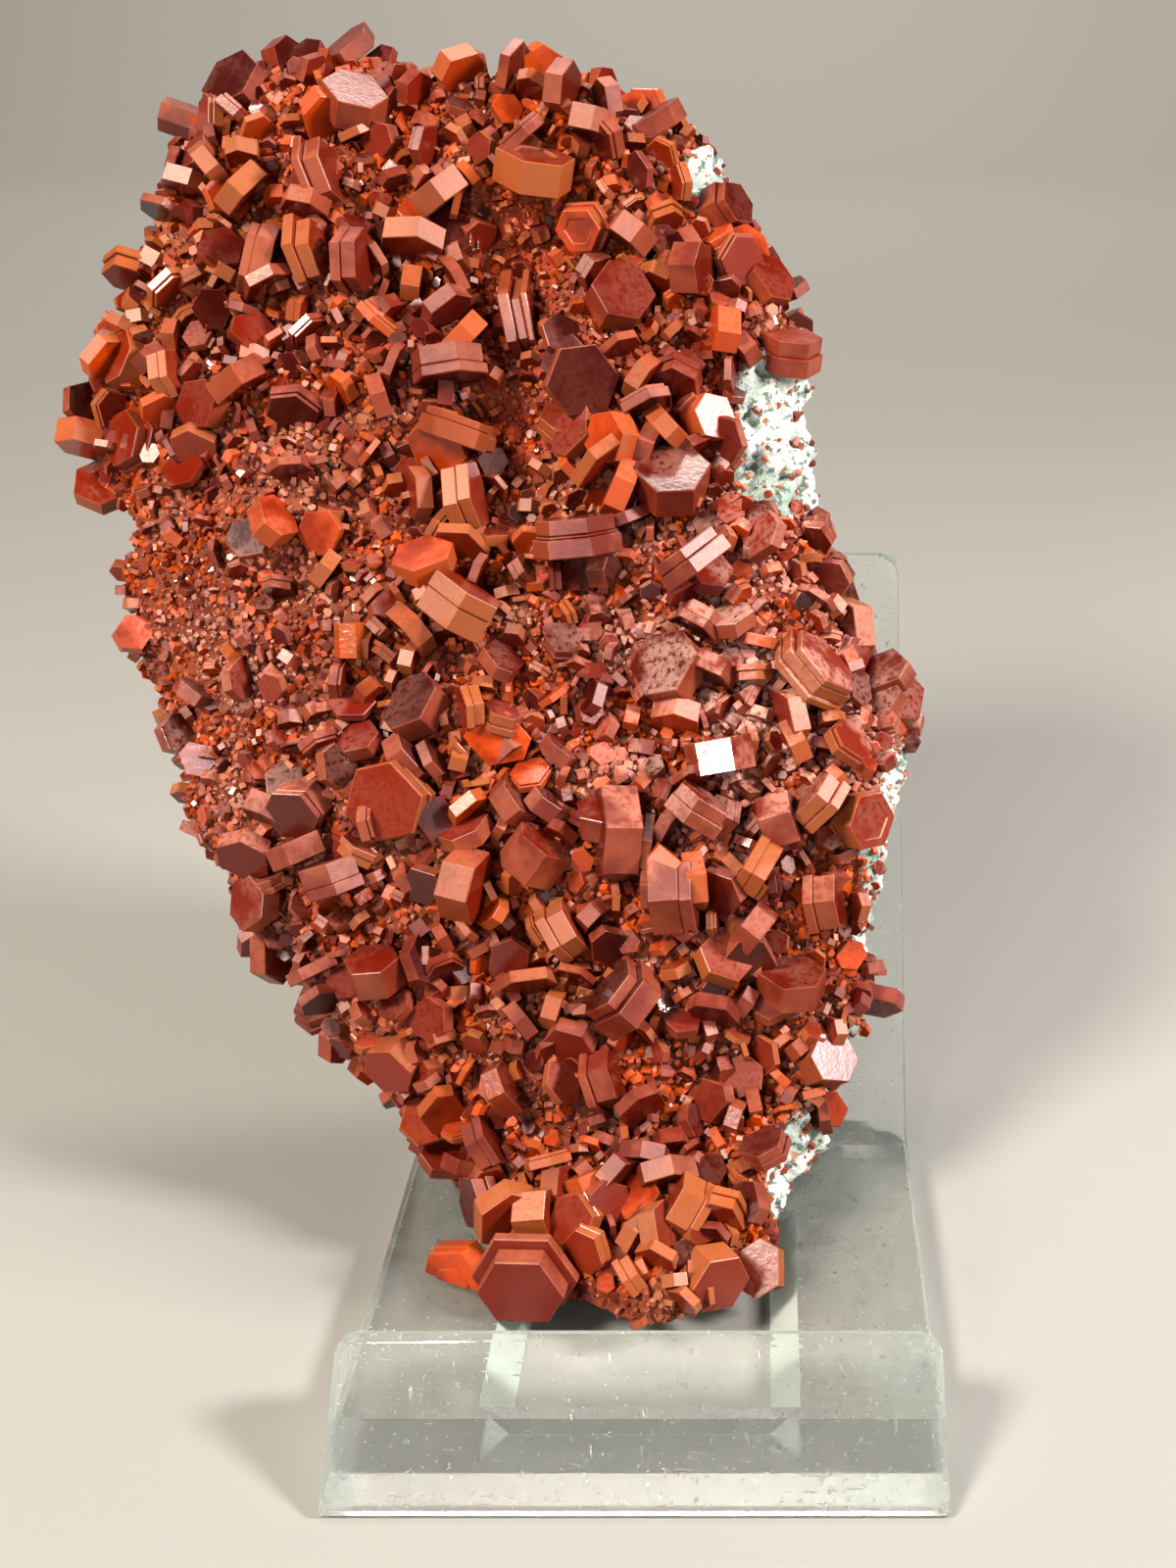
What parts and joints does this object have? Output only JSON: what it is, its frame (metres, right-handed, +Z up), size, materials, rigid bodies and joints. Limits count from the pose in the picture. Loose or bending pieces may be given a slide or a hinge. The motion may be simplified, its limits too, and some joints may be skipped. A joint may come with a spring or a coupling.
{
  "type": "vanadinite on matrix",
  "caption": "Leaning plate of pale rock coated with orange crust and deep red hexagonal crystals, resting in a bent clear acrylic display stand",
  "frame": {"origin": "on the underside of the stand's base, on its centreline, below the solid bar between the base window and the back bend", "axes": "+Z up, -Y towards the front lip of the stand, +X to the right as seen from the front"},
  "size_m": [0.1004, 0.1241, 0.1278],
  "materials": {
    "clear_acrylic": "clear, polished faces, frosted cut edges, fine scratches",
    "pale_matrix": "rough orange-brown druse over pale grey-green and white rock",
    "red_vanadinite": "glossy deep red",
    "orange_vanadinite": "glossy orange-red",
    "dusty_vanadinite": "satin tan-brown prism faces, dusty"
  },
  "bodies": {
    "root": {"acrylic_stand": "clear_acrylic", "matrix": "pale_matrix", "crown_tablet": "red_vanadinite", "crown_left_prism": "dusty_vanadinite", "crown_right_tablet": "red_vanadinite", "top_upright_tablet": "red_vanadinite", "upper_left_tablet_1": "red_vanadinite", "upper_left_tablet_2": "red_vanadinite", "top_middle_bar": "dusty_vanadinite", "top_middle_tablet": "red_vanadinite", "top_gold_tablet": "red_vanadinite", "top_right_tablet_1": "red_vanadinite", "top_right_prism": "dusty_vanadinite", "right_tablet_1": "red_vanadinite", "right_tablet_2": "orange_vanadinite", "right_edge_tablet": "red_vanadinite", "tall_prism": "dusty_vanadinite", "level_bar": "dusty_vanadinite", "grey_bar": "dusty_vanadinite", "needle_prism": "dusty_vanadinite", "dark_tablet": "red_vanadinite", "orange_tablet_1": "orange_vanadinite", "orange_tablet_2": "orange_vanadinite", "brown_tablet": "red_vanadinite", "double_plate": "dusty_vanadinite", "slanting_plate": "dusty_vanadinite", "great_double_prism": "dusty_vanadinite", "left_gold_prism": "dusty_vanadinite", "studded_tablet": "red_vanadinite", "curved_tablet": "red_vanadinite", "mirror_prism": "dusty_vanadinite", "middle_bar": "dusty_vanadinite", "right_prism_1": "dusty_vanadinite", "long_mauve_prism": "dusty_vanadinite", "right_brown_tablet": "red_vanadinite", "great_red_tablet": "red_vanadinite", "left_red_tablet": "red_vanadinite", "left_pink_bar": "dusty_vanadinite", "middle_prism_1": "dusty_vanadinite", "middle_prism_2": "dusty_vanadinite", "upright_tan_prism": "dusty_vanadinite", "lower_prism_1": "dusty_vanadinite", "right_prism_2": "dusty_vanadinite", "great_dark_tablet": "red_vanadinite", "lower_flat_tablet": "red_vanadinite", "lower_left_tablet_1": "red_vanadinite", "lower_left_tablet_2": "red_vanadinite", "lower_bar": "dusty_vanadinite", "lower_right_tablet": "orange_vanadinite", "foot_tan_prism": "dusty_vanadinite", "foot_left_prism": "dusty_vanadinite", "foot_great_tablet": "red_vanadinite", "foot_ring_tablet": "orange_vanadinite", "foot_right_tablet": "red_vanadinite", "left_edge_tablet_1": "red_vanadinite", "left_edge_tablet_2": "red_vanadinite", "left_tablet": "red_vanadinite"}
  },
  "joints": []
}
